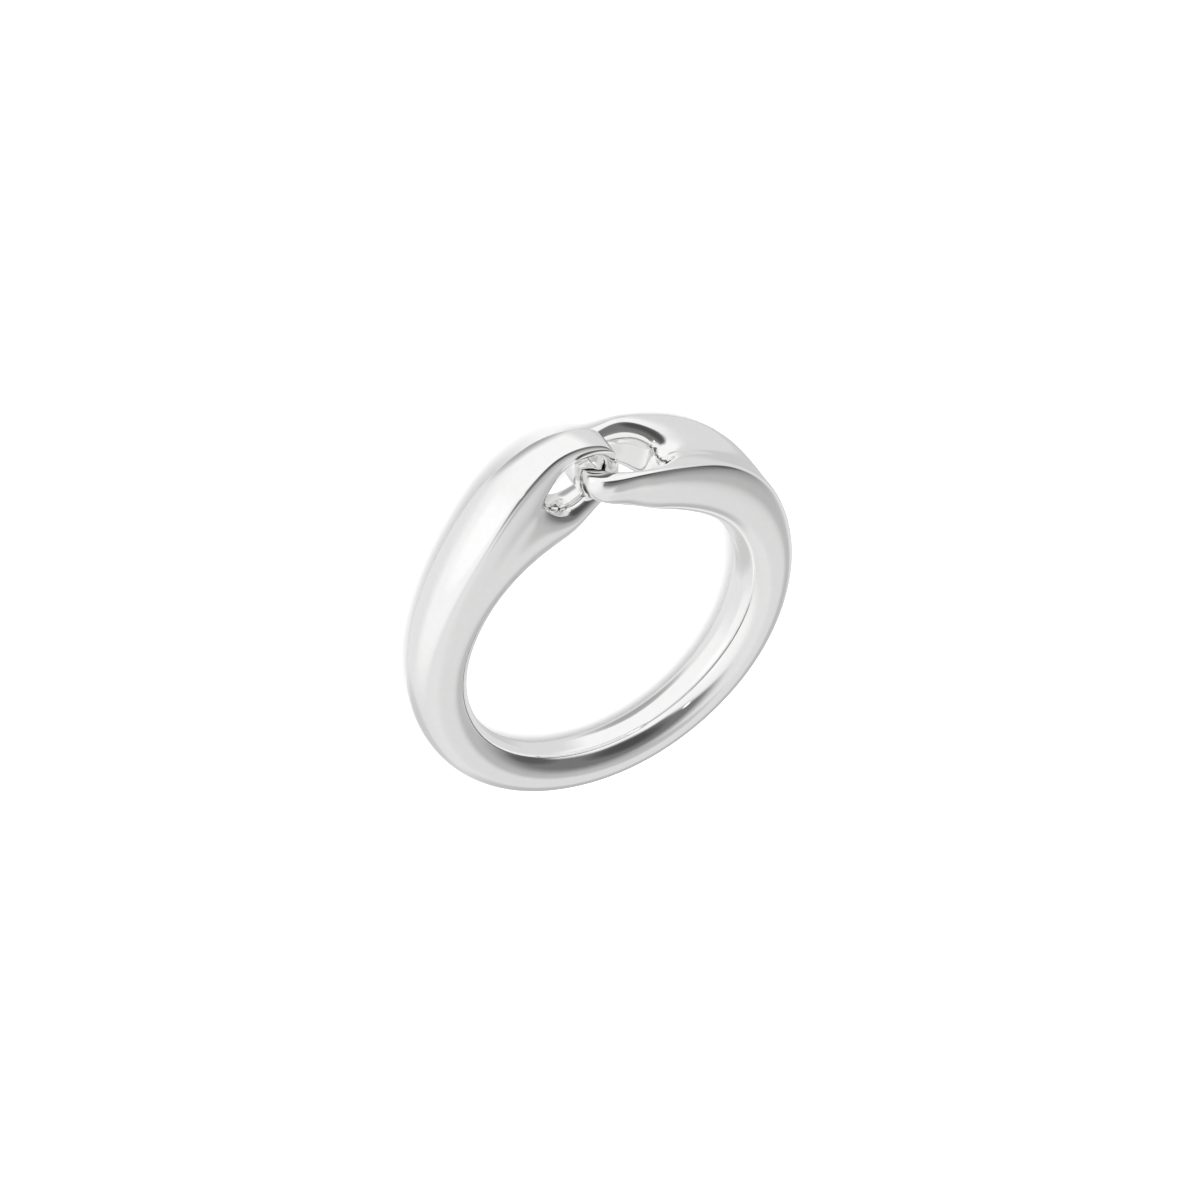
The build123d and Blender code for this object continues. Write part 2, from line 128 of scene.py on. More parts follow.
# The rounded tips: turns in degrees, widths as shares of each eye's own half width, hole_out and hole_in
# of the tip's half, round_edge as a sharpness, and the rest as shares of the upright eye's rise.
UPRIGHT_TIP = dict(turns=(52, 26, 0, -26, -52), crown=0.008,
                   start=0.08, reach=0.178, centre=0.533, half=0.326, width=0.51, round_edge=0.6,
                   hole_reach=0.067, hole_centre=0.541, hole_half=0.263, hole_width=0.466)
FLAT_TIP = dict(turns=(70, 41, 0, -41, -70), crown=0.06,
                start=0.048, reach=0.245, centre=0.525, half=0.134, width=0.84, round_edge=0.6,
                hole_reach=0.072, hole_out=0.95, hole_in=1.13, hole_width=0.66)
# corners across a tip, as shares of its half width, and the steps between them
TIP_ACROSS = (-1, -0.6, 0, 0.6, 1)
TIP_STEPS = len(TIP_ACROSS) - 1
# degrees between the corners of a hole's rounded end
HOLE_TURN = 48
# how far the walls of the holes stand into them, and how far the upright eye's inner strand does, as
# shares of that eye's rise
WALL_BULGE = 0.052
STRAND_BULGE = 0.085


def polar(angle, radius, z):
    """a point at an angle from the top of the ring, towards the upright eye's side"""
    turn = radians(angle)
    return (-radius * sin(turn), radius * cos(turn), z)


def mirrored(half):
    """the nine points of the front half of a section and the seven that mirror them"""
    return half + [(rise, -z) for rise, z in half[-2:0:-1]]


def swells(angles):
    """how much further out each station's corners stand, since the smooth surface runs inside them"""
    steps = np.radians(np.diff(angles))
    before = np.insert(steps, 0, steps[0])
    after = np.append(steps, steps[-1])
    return 6 / (4 + np.cos(before) + np.cos(after))


def tip_border(flat):
    """the sixteen border places of a tip's corners, in the order of a section's points"""
    up, down = range(TIP_STEPS), range(TIP_STEPS, 0, -1)
    border = [(0, b) for b in up] + [(a, TIP_STEPS) for a in up]
    border += [(TIP_STEPS, b) for b in down] + [(a, 0) for a in down]
    first = OUTER_EDGES[1] if flat else OUTER_EDGES[0]
    return border[first:] + border[:first]


def hole_loop(corners):
    """(station, corner) places round a hole: along one edge, round the far end and back"""
    side, middle, other = corners
    along = list(range(HOLE_STATIONS + 1))
    loop = [(0, middle)] + [(i, side) for i in along]
    return loop + [(HOLE_STATIONS, middle)] + [(i, other) for i in reversed(along)]


class RingCage:
    """corner points in millimetres, four-sided faces and the sharpness of the creased edges"""

    def __init__(self, size):
        self.radius = size.finger_hole / MM / 2
        self.thick = size.band_thickness / MM
        self.band_half = size.band_width / MM / 2 * SECTION_SWELL
        self.upright_rise = size.upright_rise / MM
        self.upright_half = size.upright_width / MM / 2 * SECTION_SWELL
        self.flat_rise = size.flat_rise / MM
        self.flat_half = size.flat_width / MM / 2 * SECTION_SWELL
        self.stock = size.land_stock / MM
        self.points, self.faces, self.creases = [], [], {}
        grid = self.lay_stations()
        upright_ring = self.lay_tip(grid[0], UPRIGHT_TIP, False)
        flat_ring = self.lay_tip(grid[-1], FLAT_TIP, True)
        self.crease_tips(grid, upright_ring, flat_ring)
        self.lay_holes(grid)

    def add(self, point):
        self.points.append(np.array(point, float))
        return len(self.points) - 1

    def face(self, *corners):
        self.faces.append(tuple(corners))

    def crease(self, a, b, sharpness):
        if sharpness > 0:
            self.creases[frozenset((a, b))] = sharpness

    def strip(self, near, far):
        """faces between two closed loops of the same count"""
        for k in range(len(near)):
            after = (k + 1) % len(near)
            self.face(near[k], near[after], far[after], far[k])

    def upright_section(self, row):
        """(height above the finger hole, z) round the section, from the middle of the outer face"""
        rise = self.thick + (self.upright_rise - self.thick) * row["grow"]
        wide = self.band_half + (self.upright_half - self.band_half) * row["spread"]
        floor = row["floor"] * rise - self.stock
        rim = row["rim"] * rise
        return mirrored([
            (rise, 0),
            (rise * (1 + (row["edge"] - 1) * OUTER_SHOULDER[0]),
             row["edge_w"] * wide * OUTER_SHOULDER[1]),
            (row["edge"] * rise, row["edge_w"] * wide),
            (row["lip"] * rise, row["lip_w"] * wide),
            (row["mid"] * rise, row["mid_w"] * wide),
            (row["sill"] * rise, row["sill_w"] * wide),
            (rim, row["rim_w"] * wide),
            (floor + (rim - floor) * INNER_SHOULDER[0],
             row["rim_w"] * wide * INNER_SHOULDER[1]),
            (floor, 0)])

    def flat_section(self, row):
        """the same round the flat eye's arm"""
        rise = self.thick + (self.flat_rise - self.thick) * row["grow"]
        wide = self.band_half + (self.flat_half - self.band_half) * row["spread"]
        belly = (row["cheek_w"] + row["jaw_w"]) / 2 + SIDE_BELLY
        return mirrored([
            (row["mid"] * rise, 0),
            (row["lip"] * rise, row["lip_w"] * wide),
            (row["edge"] * rise, row["edge_w"] * wide),
            (row["cheek"] * rise, row["cheek_w"] * wide),
            ((row["cheek"] + row["jaw"]) / 2 * rise, belly * wide),
            (row["jaw"] * rise, row["jaw_w"] * wide),
            (row["rim"] * rise, row["rim_w"] * wide),
            (row["sill"] * rise, row["sill_w"] * wide),
            (row["floor"] * rise - self.stock, 0)])

    def band_section(self, row):
        """the same round the plain band: a rounded section between a circle and a square"""
        deep = self.thick * row["thick"] / 2 * SECTION_SWELL
        wide = self.band_half * row["wide"]
        turns = 2 * pi * np.arange(ROUND_POINTS) / ROUND_POINTS
        out = np.sign(np.cos(turns)) * abs(np.cos(turns)) ** (2 / ROUNDNESS)
        side = np.sign(np.sin(turns)) * abs(np.sin(turns)) ** (2 / ROUNDNESS)
        return list(zip(deep - self.stock + out * deep, side * wide))

    def stations(self):
        """(angle, section, crease) from the upright eye's tip round to the flat eye's"""
        ring = [(row["angle"], self.upright_section(row), row["crease"]) for row in UPRIGHT_ROWS]
        ring += [(row["angle"], self.band_section(row), 0) for row in BAND_ROWS]
        ring += [(360 - row["angle"], self.flat_section(row), row["crease"])
                 for row in reversed(FLAT_ROWS)]
        return ring

    def upright_hole_end(self, side, front):
        """corner of the upright eye's hole at its tip: side 1 outer, -1 inner; front 1 or -1"""
        tip = UPRIGHT_TIP
        turn = radians(HOLE_TURN * side)
        x = (tip["hole_reach"] * cos(turn) - tip["start"]) * self.upright_rise
        y = self.radius + (tip["hole_centre"] + tip["hole_half"] * sin(turn)) * self.upright_rise
        return (x, y, front * tip["hole_width"] * self.upright_half)

    def flat_hole_end(self, side, outer):
        """corner of the flat eye's hole at its tip: side 1 front, 0 middle, -1 back"""
        tip = FLAT_TIP
        turn = radians(HOLE_TURN * side)
        x = -(tip["start"] + tip["hole_reach"] * cos(turn)) * self.upright_rise
        off = tip["hole_out"] if outer else -tip["hole_in"]
        y = self.radius + (tip["centre"] + off * tip["half"]) * self.upright_rise
        return (x, y, tip["hole_width"] * self.flat_half * sin(turn))

    def station_point(self, i, j, angle, radius, z, last):
        """corner j of station i, or None where a hole leaves it out"""
        if i == 0 and j in FRONT_HOLE:
            return self.upright_hole_end(1 - FRONT_HOLE.index(j), 1)
        if i == 0 and j in BACK_HOLE:
            return self.upright_hole_end(BACK_HOLE.index(j) - 1, -1)
        if i == last and j in OUTER_HOLE:
            return self.flat_hole_end(OUTER_HOLE.index(j) - 1, True)
        if i == last and j in INNER_HOLE:
            return self.flat_hole_end(1 - INNER_HOLE.index(j), False)
        if j in (FRONT_HOLE[1], BACK_HOLE[1]) and i <= HOLE_STATIONS:
            return polar(angle + UPRIGHT_HOLE_POINT, radius, z) if i == HOLE_STATIONS else None
        if j in (OUTER_HOLE[1], INNER_HOLE[1]) and i >= last - HOLE_STATIONS:
            return polar(angle + FLAT_HOLE_POINT, radius, z) if i == last - HOLE_STATIONS else None
        return polar(angle, radius, z)

    def lay_stations(self):
        """the corner grid of the whole ring, without the tips; returns grid[station][corner]"""
        ring = self.stations()
        last = len(ring) - 1
        swell_outs = swells([angle for angle, _, _ in ring])
        grid = []
        for i, ((angle, section, _), swell) in enumerate(zip(ring, swell_outs)):
            places = [self.station_point(i, j, angle, (self.radius + rise) * swell, z, last)
                      for j, (rise, z) in enumerate(section)]
            grid.append([None if place is None else self.add(place) for place in places])
        for i in range(last):
            sharp = (ring[i][2] + ring[i + 1][2]) / 2
            for j in range(ROUND_POINTS):
                after = (j + 1) % ROUND_POINTS
                in_upright_hole = i < HOLE_STATIONS and j in FRONT_HOLE[:2] + BACK_HOLE[:2]
                in_flat_hole = i >= last - HOLE_STATIONS and j in OUTER_HOLE[:2] + INNER_HOLE[:2]
                if not in_upright_hole and not in_flat_hole:
                    self.face(grid[i][j], grid[i + 1][j], grid[i + 1][after], grid[i][after])
            for j in OUTER_EDGES:
                self.crease(grid[i][j], grid[i + 1][j], sharp)
        return grid

    def lay_tip(self, station, tip, flat):
        """close one end of the ring with five by five corners from one strand to the other"""
        points = {}
        for a, degrees_round in enumerate(tip["turns"]):
            for b, across in enumerate(TIP_ACROSS):
                turn = radians(degrees_round)
                crown = tip["crown"] * (1 - across ** 2)
                reach = tip["reach"] + crown
                if flat:
                    x = -tip["start"] - reach * cos(turn)
                    up = tip["centre"] - across * tip["half"]
                    z = (tip["width"] * self.flat_half + crown * self.upright_rise) * sin(turn)
                else:
                    x = reach * cos(turn) - tip["start"]
                    up = tip["centre"] + (tip["half"] + crown) * sin(turn)
                    z = across * tip["width"] * self.upright_half
                y = self.radius + up * self.upright_rise
                points[a, b] = self.add((x * self.upright_rise, y, z))
        ring = [points[place] for place in tip_border(flat)]
        for a in range(TIP_STEPS):
            for b in range(TIP_STEPS):
                corners = (points[a, b], points[a, b + 1], points[a + 1, b + 1], points[a + 1, b])
                self.face(*(corners[::-1] if flat else corners))
        self.strip(*((ring, station) if flat else (station, ring)))
        return ring

    def crease_tips(self, grid, upright_ring, flat_ring):
        """lead the outer edges of both eyes round their tips"""
        for j in OUTER_EDGES:
            self.crease(grid[0][j], upright_ring[j], UPRIGHT_ROWS[0]["crease"])
            self.crease(grid[-1][j], flat_ring[j], FLAT_ROWS[0]["crease"])
        for j in INNER_EDGES:
            self.crease(grid[0][j], upright_ring[j], UPRIGHT_TIP["round_edge"])
        for j in (*range(OUTER_EDGES[0], INNER_EDGES[0]), *range(INNER_EDGES[1], OUTER_EDGES[1])):
            self.crease(upright_ring[j], upright_ring[j + 1], UPRIGHT_TIP["round_edge"])
        for j in range(-OUTER_EDGES[0], OUTER_EDGES[0]):
            self.crease(flat_ring[j], flat_ring[j + 1], FLAT_TIP["round_edge"])

    def lay_wall(self, near, far, push):
        """the wall of a hole through the eye; push moves the middle of the wall into the hole"""
        middle = [self.add((self.points[a] + self.points[b]) / 2 + push(k))
                  for k, (a, b) in enumerate(zip(near, far))]
        self.strip(near, middle)
        self.strip(middle, far)

    def lay_holes(self, grid):
        """the walls of both eyes' holes"""
        bulge = WALL_BULGE * self.upright_rise
        strand = STRAND_BULGE * self.upright_rise
        far_place = HOLE_STATIONS + 2

        def wall_push(k, one_side, other_side, end):
            """how far place k of a loop moves; end is the push at the loop's far end"""
            if k in (0, far_place):
                return end if k else -end
            return one_side if k < far_place else other_side

        upright = hole_loop(FRONT_HOLE)
        near = [grid[i][j] for i, j in upright]
        far = [grid[i][ROUND_POINTS - j] for i, j in upright]
        self.lay_wall(near, far, lambda k: wall_push(
            k, np.array((0, -bulge, 0)), np.array((0, strand, 0)), np.array((bulge, 0, 0))))
        flat = hole_loop(OUTER_HOLE[::-1])
        inner = dict(zip(OUTER_HOLE[::-1], INNER_HOLE))
        near = [grid[-1 - i][j] for i, j in flat]
        far = [grid[-1 - i][inner[j]] for i, j in flat]
        self.lay_wall(near, far, lambda k: wall_push(
            k, np.array((0, 0, -bulge)), np.array((0, 0, bulge)), np.array((-bulge, 0, 0))))


def lean():
    """the smallest turn from upright to the finger hole's axis in the frame"""
    up = Vector((0, 0, 1))
    return up.rotation_difference(Vector(BORE["axis"])).to_matrix()


# sharpness of an edge whose crease value is 1; it grows with the square of that value
SHARPEST = 10


def ring_mesh(size):
    """the corner mesh in metres, laid where the frame has the ring"""
    cage = RingCage(size)
    turn, middle = lean(), Vector(BORE["pos_m"])
    mesh = bpy.data.meshes.new("ring_polished")
    mesh.from_pydata([middle + turn @ Vector(p * MM) for p in cage.points], [], cage.faces)
    crease = mesh.attributes.new("crease_edge", "FLOAT", "EDGE")
    for edge in mesh.edges:
        sharpness = cage.creases.get(frozenset(edge.vertices), 0.0)
        crease.data[edge.index].value = (sharpness / SHARPEST) ** 0.5
    mesh.polygons.foreach_set("use_smooth", [True] * len(mesh.polygons))
    return mesh


NUMBER = "ShaderNodeMath"
VECTOR = "ShaderNodeVectorMath"


class Socket:
    """a node socket that adds and multiplies as a number or a vector does"""

    def __init__(self, tree, socket, math=NUMBER):
        self.tree, self.socket, self.math = tree, socket, math

    def _join(self, operation, other, swap=False):
        vector = self.math == VECTOR
        node = self.tree.nodes.new(self.math)
        node.operation = operation
        pair = (other, self) if swap else (self, other)
        for slot, value in zip(node.inputs, pair):
            if isinstance(value, Socket):
                self.tree.links.new(value.socket, slot)
            else:
                number = isinstance(value, (int, float))
                slot.default_value = (value,) * 3 if vector and number else value
        return Socket(self.tree, node.outputs[0], self.math)

    def __add__(self, other):
        return self._join("ADD", other)

    def __radd__(self, other):
        return self._join("ADD", other, True)

    def __sub__(self, other):
        return self._join("SUBTRACT", other)

    def __rsub__(self, other):
        return self._join("SUBTRACT", other, True)

    def __mul__(self, other):
        return self._join("MULTIPLY", other)

    def __rmul__(self, other):
        return self._join("MULTIPLY", other, True)

    def largest(self, other):
        return self._join("MAXIMUM", other)


# places of the colour sockets on a mix node
MIX_COLOURS = (6, 7)
MIX_RESULT = 2


class Nodes:
    """a node tree with one method for adding any node"""

    def __init__(self, tree):
        self.tree = tree

    def add(self, kind, inputs=(), output=0, math=NUMBER, **settings):
        node = self.tree.nodes.new(kind)
        for name, value in settings.items():
            setattr(node, name, value)
        for name, value in dict(inputs).items():
            if isinstance(value, Socket):
                self.tree.links.new(value.socket, node.inputs[name])
            else:
                node.inputs[name].default_value = value
        return Socket(self.tree, node.outputs[output], math)

    def mix(self, share, low, high):
        """a colour between two others"""
        inputs = {"Factor": share, MIX_COLOURS[0]: low, MIX_COLOURS[1]: high}
        return self.add("ShaderNodeMix", inputs, output=MIX_RESULT, data_type="RGBA")

    def link(self, source, node, name):
        self.tree.links.new(source.socket, node.inputs[name])


RING_INPUTS = {
    "Geometry": "NodeSocketGeometry",
    "Smooth steps": "NodeSocketInt",
    "Finger hole radius": "NodeSocketFloat",
    "Finger hole middle": "NodeSocketVector",
    "Finger hole axis": "NodeSocketVector",
    "Metal": "NodeSocketMaterial",
}


def ring_tree():
    """geometry nodes: round the corner mesh off and push its inside out to the finger hole's wall"""
    tree = bpy.data.node_groups.new("ring_surface", "GeometryNodeTree")
    for name, kind in RING_INPUTS.items():
        tree.interface.new_socket(name, in_out="INPUT", socket_type=kind)
    tree.interface.new_socket("Geometry", in_out="OUTPUT", socket_type="NodeSocketGeometry")
    nodes = Nodes(tree)
    entry = tree.nodes.new("NodeGroupInput")
    given = {name: Socket(tree, entry.outputs[name], VECTOR) for name in RING_INPUTS}
    radius = Socket(tree, given["Finger hole radius"].socket)
    crease = nodes.add("GeometryNodeInputNamedAttribute", {"Name": "crease_edge"},
                       data_type="FLOAT")
    smooth = nodes.add("GeometryNodeSubdivisionSurface", {
        "Mesh": given["Geometry"], "Level": given["Smooth steps"], "Edge Crease": crease})
    place = nodes.add("GeometryNodeInputPosition", math=VECTOR)
    axis = given["Finger hole axis"]
    from_middle = place - given["Finger hole middle"]
    along = nodes.add(VECTOR, {0: from_middle, 1: axis}, output="Value", operation="DOT_PRODUCT")
    across = from_middle - nodes.add(VECTOR, {0: axis, "Scale": along}, math=VECTOR, operation="SCALE")
    reach = nodes.add(VECTOR, {0: across}, output="Value", operation="LENGTH")
    outwards = nodes.add(VECTOR, {0: across}, math=VECTOR, operation="NORMALIZE")
    short = (radius - reach).largest(0.0)
    offset = nodes.add(VECTOR, {0: outwards, "Scale": short}, math=VECTOR, operation="SCALE")
    pushed = nodes.add("GeometryNodeSetPosition", {"Geometry": smooth, "Offset": offset})
    shaded = nodes.add("GeometryNodeSetShadeSmooth", {"Geometry": pushed, "Shade Smooth": True})
    metal = nodes.add("GeometryNodeSetMaterial", {"Geometry": shaded, "Material": given["Metal"]})
    real = nodes.add("GeometryNodeRealizeInstances", {"Geometry": metal})
    nodes.link(real, tree.nodes.new("NodeGroupOutput"), 0)
    return tree


def plain_mesh(cage, name, values):
    """run the ring's geometry nodes on the corner mesh and return the result as a plain object"""
    draft = bpy.data.objects.new("ring_corners", cage)
    bpy.context.scene.collection.objects.link(draft)
    surface = draft.modifiers.new("ring_surface", "NODES")
    surface.node_group = ring_tree()
    for item in surface.node_group.interface.items_tree:
        if item.in_out == "INPUT" and item.name in values:
            surface[item.identifier] = values[item.name]
    draft.data.update()
    bpy.context.view_layer.update()
    graph = bpy.context.evaluated_depsgraph_get()
    mesh = bpy.data.meshes.new_from_object(draft.evaluated_get(graph), depsgraph=graph)
    mesh.name = name
    bpy.data.objects.remove(draft)
    piece = bpy.data.objects.new(name, mesh)
    bpy.context.scene.collection.objects.link(piece)
    return piece


NOISE = "ShaderNodeTexNoise"
# noise scales, in waves a metre, and the height of the ripples in metres
ROUGH_SCALE = 420.0
TINT_SCALE = 2600.0
RIPPLE_SCALE = 900.0
RIPPLE_HEIGHT = 0.00002
PAPER_SCALE = 300.0
PAPER_LOW = (0.94, 0.94, 0.94, 1)
PAPER_HIGH = (0.96, 0.96, 0.96, 1)
PAPER_ROUGHNESS = 0.9


def blank_material(name):
    """a new material, its nodes, its shader and its object coordinates"""
    material = bpy.data.materials.new(name)
    material.use_nodes = True
    nodes = Nodes(material.node_tree)
    place = nodes.add("ShaderNodeTexCoord", output="Object", math=VECTOR)
    return material, nodes, material.node_tree.nodes["Principled BSDF"], place


def silver(look):
    """mirror-polished silver: bright neutral metal with soft polishing marks and faint ripples"""
    material, nodes, shader, place = blank_material("polished_silver")
    patches = nodes.add(NOISE, {"Vector": place, "Scale": ROUGH_SCALE, "Detail": 2.0})
    nodes.link(patches * look.haze + look.roughness, shader, "Roughness")
    grain = nodes.add(NOISE, {"Vector": place, "Scale": TINT_SCALE, "Detail": 3.0})
    nodes.link(nodes.mix(grain, look.metal_low, look.metal_high), shader, "Base Color")
    shader.inputs["Metallic"].default_value = 1.0
    fine = nodes.add(NOISE, {"Vector": place, "Scale": RIPPLE_SCALE, "Detail": 2.0})
    relief = nodes.add("ShaderNodeBump", {
        "Strength": look.ripple, "Distance": RIPPLE_HEIGHT, "Height": fine})
    nodes.link(relief, shader, "Normal")
    return material


def paper():
    """the pale, plain floor"""
    material, nodes, shader, place = blank_material("pale_floor")
    grain = nodes.add(NOISE, {"Vector": place, "Scale": PAPER_SCALE, "Detail": 4.0})
    nodes.link(nodes.mix(grain, PAPER_LOW, PAPER_HIGH), shader, "Base Color")
    shader.inputs["Roughness"].default_value = PAPER_ROUGHNESS
    return material


class RingSizes(bpy.types.PropertyGroup):
    """sizes of the ring"""
    finger_hole: bpy.props.FloatProperty(
        name="Finger hole", description="Diameter of the finger hole",
        default=2 * BORE["dims"]["r_mm"] * MM, unit="LENGTH", precision=5)
    band_thickness: bpy.props.FloatProperty(
        name="Band thickness", description="Thickness of the band at the back",
        default=0.00265, unit="LENGTH", precision=5)
    band_width: bpy.props.FloatProperty(
        name="Band width", description="Width of the band along the finger",
        default=0.00284, unit="LENGTH", precision=5)
    upright_rise: bpy.props.FloatProperty(
        name="Upright eye rise", description="Height of the upright eye above the finger hole",
        default=0.00628, unit="LENGTH", precision=5)
    upright_width: bpy.props.FloatProperty(
        name="Upright eye width", description="Width of the upright eye's arm along the finger",
        default=0.00343, unit="LENGTH", precision=5)
    flat_rise: bpy.props.FloatProperty(
        name="Flat eye rise", description="Height of the flat eye above the finger hole",
        default=0.0042, unit="LENGTH", precision=5)
    flat_width: bpy.props.FloatProperty(
        name="Flat eye width", description="Width of the flat eye along the finger",
        default=0.00536, unit="LENGTH", precision=5)
    land_stock: bpy.props.FloatProperty(
        name="Inside crest",
        description="How far the inside face stands into the hole before it is cut round",
        default=0.00006, unit="LENGTH", precision=6)
    smooth_steps: bpy.props.IntProperty(
        name="Smooth steps", description="How often the corner mesh is rounded off",
        default=3, min=1, max=4)


class MetalLook(bpy.types.PropertyGroup):
    """colour and polish of the silver"""
    metal_low: bpy.props.FloatVectorProperty(
        name="Metal, darker", description="Darker tone of the silver",
        size=4, subtype="COLOR", default=(0.93, 0.93, 0.925, 1), min=0, max=1)
    metal_high: bpy.props.FloatVectorProperty(
        name="Metal, lighter", description="Lighter tone of the silver",
        size=4, subtype="COLOR", default=(0.97, 0.97, 0.968, 1), min=0, max=1)
    roughness: bpy.props.FloatProperty(
        name="Roughness", description="Least roughness of the polish",
        default=0.05, min=0, max=1, subtype="FACTOR")
    haze: bpy.props.FloatProperty(
        name="Haze", description="How much rougher the hazier patches are",
        default=0.03, min=0, max=1, subtype="FACTOR")
    ripple: bpy.props.FloatProperty(
        name="Ripple", description="Strength of the faint hand-polished ripples",
        default=0.02, min=0, max=1, subtype="FACTOR")


class StageLook(bpy.types.PropertyGroup):
    """the studio round the ring"""
    floor_size: bpy.props.FloatProperty(
        name="Floor", description="Side of the floor",
        default=3.0, unit="LENGTH")
    distance: bpy.props.FloatProperty(
        name="Camera distance", description="Distance of the camera from the ring's middle",
        default=0.45, unit="LENGTH")
    scale_px: bpy.props.FloatProperty(
        name="Picture scale", description="Pixels of the 1200 pixel picture for each millimetre",
        default=18.29)
    tent_tone: bpy.props.FloatProperty(
        name="Tent", description="Tone of the tent's cloth, from 0 to 255",
        default=226.0, min=0, max=255)
    opening_tone: bpy.props.FloatProperty(
        name="Opening", description="Tone of the dark opening round the camera, from 0 to 255",
        default=118.0, min=0, max=255)
    white: bpy.props.FloatProperty(
        name="White light", description="Strength of the even white light on the floor",
        default=1.8, min=0)
    lamp_size: bpy.props.FloatProperty(
        name="Lamp size", description="Side of the soft lamp over the floor",
        default=0.7, unit="LENGTH")
    lamp_power: bpy.props.FloatProperty(
        name="Lamp power", description="Power of the soft lamp over the floor",
        default=2.5, min=0, unit="POWER")


class MESH_OT_linked_eye_ring(bpy.types.Operator):
    """Make the polished ring that stands for the frame's solid"""
    bl_idname = "mesh.linked_eye_ring"
    bl_label = "Ring"

    def execute(self, context):
        size = context.scene.ring_sizes
        ring = plain_mesh(ring_mesh(size), "ring_polished", {
            "Smooth steps": size.smooth_steps,
            "Finger hole radius": size.finger_hole / 2,
            "Finger hole middle": BORE["pos_m"],
            "Finger hole axis": Vector(BORE["axis"]).normalized(),
            "Metal": silver(context.scene.metal_look)})
        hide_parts("ring")
        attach(ring, "root")
        return {"FINISHED"}


# The camera of the photograph: its right and down, in the upright ring's own directions, the width of
# its sensor in millimetres, the side of the picture in pixels, the pixel of the ring's middle, and the
# nearest and the farthest that it sees in metres.
CAMERA_RIGHT = (0.8798, 0.0025, 0.4753)
CAMERA_DOWN = (-0.3276, -0.7215, 0.6100)
SENSOR = 36.0
PICTURE = 1200
MIDDLE_PIXEL = (602.0, 623.9)
NEAREST, FARTHEST = 0.01, 20


def photo_camera(stage):
    """the camera of the photograph, at its angle to the ring"""
    right = Vector(CAMERA_RIGHT).normalized()
    down = Vector(CAMERA_DOWN)
    down = (down - right * down.dot(right)).normalized()
    back = right.cross(-down)
    turn = lean()
    data = bpy.data.cameras.new("photo_camera")
    camera = bpy.data.objects.new("photo_camera", data)
    data.sensor_width = SENSOR
    focal_px = stage.scale_px * stage.distance / MM
    data.lens = SENSOR * focal_px / PICTURE
    data.shift_x = -(MIDDLE_PIXEL[0] - PICTURE / 2) / PICTURE
    data.shift_y = (MIDDLE_PIXEL[1] - PICTURE / 2) / PICTURE
    data.clip_start, data.clip_end = NEAREST, FARTHEST
    place = Vector(BORE["pos_m"]) + turn @ back * stage.distance
    axes = Matrix((turn @ right, turn @ -down, turn @ back)).transposed().to_4x4()
    camera.matrix_world = Matrix.Translation(place) @ axes
    return camera


def compass(azimuth, height):
    """the direction at an azimuth from +X and a height above the horizon, in degrees"""
    turn, rise = radians(azimuth), radians(height)
    return Vector((cos(rise) * cos(turn), cos(rise) * sin(turn), sin(rise)))


def linear(tone):
    """light strength of a tone counted from 0 to 255"""
    share = tone / 255
    return share / 12.92 if share <= 0.04045 else ((share + 0.055) / 1.055) ** 2.4


# Soft round panels that the metal sees round it: where each stands, how wide it is and its tone.
PANELS = table("""
    azimuth height half soft tone
        165     -8   50   24  250
        155    -12   22    8  260
         92    -18   50   14  252
        -95     38   34   22  230
       -130    -58   26   14  232
        -28     24   22   14  186
        -24     50   20   12  184
        -70     -6   18   10  187
        -54     11   12    8  190
          4    -30   26   16  222
        -34    -48   14   12  204
       -104    -30   14    8  206
         75    -72   16   12  168
        -56     62   10    8  190
        -74     30   14   12  222
""")
# The dark opening round the camera is what lies inside three great circles, each given by the direction
# that it faces and by where its shade begins and is full, as sines of the angle from the circle.
OPENING_SIDES = table("""
    azimuth height begin full
       78      0   -0.36 0.22
        0     34.2 -0.20 0.04
      -79.3   70    0.0  0.18
""")
# what shows inside the opening and over the panels: its darkest parts, and a small bright lamp
DETAILS = table("""
    azimuth height half soft tone
         78     44 19   12     76
         13     14 14    8     90
        134     43  2.5  0.7  330
""")


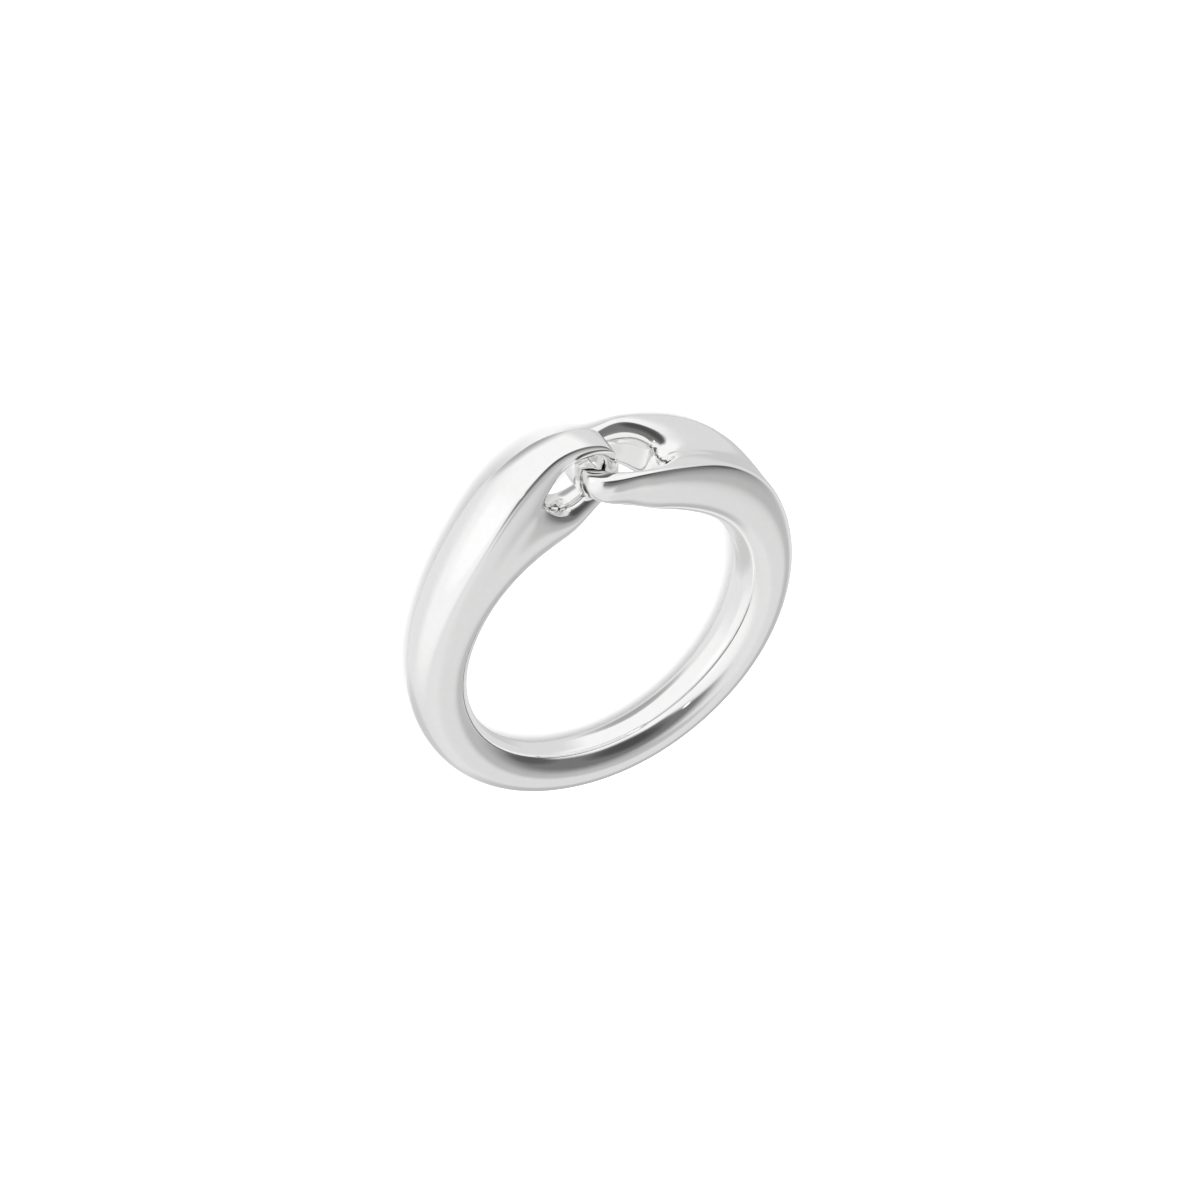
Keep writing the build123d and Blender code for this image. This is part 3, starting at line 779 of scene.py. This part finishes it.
def studio_world(stage):
    """a bright tent with softer and darker panels for the metal to mirror, plain white for all else"""
    world = bpy.data.worlds.new("tent")
    world.use_nodes = True
    tree = world.node_tree
    nodes = Nodes(tree)
    way = nodes.add("ShaderNodeTexCoord", output="Generated", math=VECTOR)

    def facing(direction, begin, full):
        towards = nodes.add(VECTOR, {0: way, 1: tuple(direction)}, output="Value",
                            operation="DOT_PRODUCT")
        span = {"Value": towards, "From Min": begin, "From Max": full}
        return nodes.add("ShaderNodeMapRange", span, interpolation_type="SMOOTHSTEP")

    def lay_panels(light, panels):
        for panel in panels:
            cover = facing(compass(panel["azimuth"], panel["height"]),
                           cos(radians(panel["half"] + panel["soft"])),
                           cos(radians(panel["half"] - panel["soft"])))
            light = light + (linear(panel["tone"]) - light) * cover
        return light

    light = nodes.add("ShaderNodeValue")
    light.socket.default_value = linear(stage.tent_tone)
    light = lay_panels(light, PANELS)
    cover = 1.0
    for side in OPENING_SIDES:
        direction = compass(side["azimuth"], side["height"])
        cover = facing(direction, side["begin"], side["full"]) * cover
    light = light + (linear(stage.opening_tone) - light) * cover
    light = lay_panels(light, DETAILS)
    tent = tree.nodes["Background"]
    nodes.link(light, tent, "Color")
    plain = nodes.add("ShaderNodeBackground", {"Color": (1, 1, 1, 1), "Strength": stage.white})
    mirrored_ray = nodes.add("ShaderNodeLightPath", output="Is Glossy Ray")
    both = nodes.add("ShaderNodeMixShader", {
        "Fac": mirrored_ray, 1: plain, 2: Socket(tree, tent.outputs[0])})
    nodes.link(both, tree.nodes["World Output"], "Surface")
    return world


def soft_box(name, place, side, watts):
    """a square lamp over the floor that faces the ring and is not mirrored in it"""
    data = bpy.data.lights.new(name, "AREA")
    data.shape = "SQUARE"
    data.size = side
    data.energy = watts
    light = bpy.data.objects.new(name, data)
    turn = (-Vector(place)).to_track_quat("-Z", "Y").to_matrix().to_4x4()
    light.matrix_world = Matrix.Translation(place) @ turn
    light.visible_glossy = False
    return light


# where the soft lamp hangs, in metres
LAMP_PLACE = (-0.1, 0.2, 0.8)


class SCENE_OT_ring_stage(bpy.types.Operator):
    """Make the floor, the studio light and the camera"""
    bl_idname = "scene.ring_stage"
    bl_label = "Studio"

    def execute(self, context):
        stage = context.scene.stage_look
        half = stage.floor_size / 2
        corners = [(-half, -half, 0), (half, -half, 0), (half, half, 0), (-half, half, 0)]
        mesh = bpy.data.meshes.new("floor")
        mesh.from_pydata(corners, [], [(0, 1, 2, 3)])
        floor = bpy.data.objects.new("floor", mesh)
        mesh.materials.append(paper())
        context.scene.collection.objects.link(floor)
        # the metal mirrors the tent alone, as if the ring hung free in it
        floor.visible_glossy = False
        context.scene.world = studio_world(stage)
        lamp = soft_box("floor_lamp", LAMP_PLACE, stage.lamp_size, stage.lamp_power)
        context.scene.collection.objects.link(lamp)
        camera = photo_camera(stage)
        context.scene.collection.objects.link(camera)
        context.scene.camera = camera
        context.scene.view_settings.view_transform = "Standard"
        return {"FINISHED"}


class VIEW3D_PT_ring(bpy.types.Panel):
    """sizes, metal and studio of the ring"""
    bl_label = "Linked-eye ring"
    bl_space_type = "VIEW_3D"
    bl_region_type = "UI"
    bl_category = "Ring"

    def draw(self, context):
        layout = self.layout
        for group in (context.scene.ring_sizes, context.scene.metal_look, context.scene.stage_look):
            box = layout.box()
            for name in group.__annotations__:
                box.prop(group, name)
        layout.operator(MESH_OT_linked_eye_ring.bl_idname)
        layout.operator(SCENE_OT_ring_stage.bl_idname)


CLASSES = (RingSizes, MetalLook, StageLook, MESH_OT_linked_eye_ring, SCENE_OT_ring_stage,
           VIEW3D_PT_ring)


def register():
    for item in CLASSES:
        bpy.utils.register_class(item)
    bpy.types.Scene.ring_sizes = bpy.props.PointerProperty(type=RingSizes)
    bpy.types.Scene.metal_look = bpy.props.PointerProperty(type=MetalLook)
    bpy.types.Scene.stage_look = bpy.props.PointerProperty(type=StageLook)


def unregister():
    del bpy.types.Scene.stage_look
    del bpy.types.Scene.metal_look
    del bpy.types.Scene.ring_sizes
    for item in reversed(CLASSES):
        bpy.utils.unregister_class(item)


def main():
    register()
    bpy.ops.mesh.linked_eye_ring()
    bpy.ops.scene.ring_stage()
    bpy.context.view_layer.update()


if __name__ == "__main__":
    main()
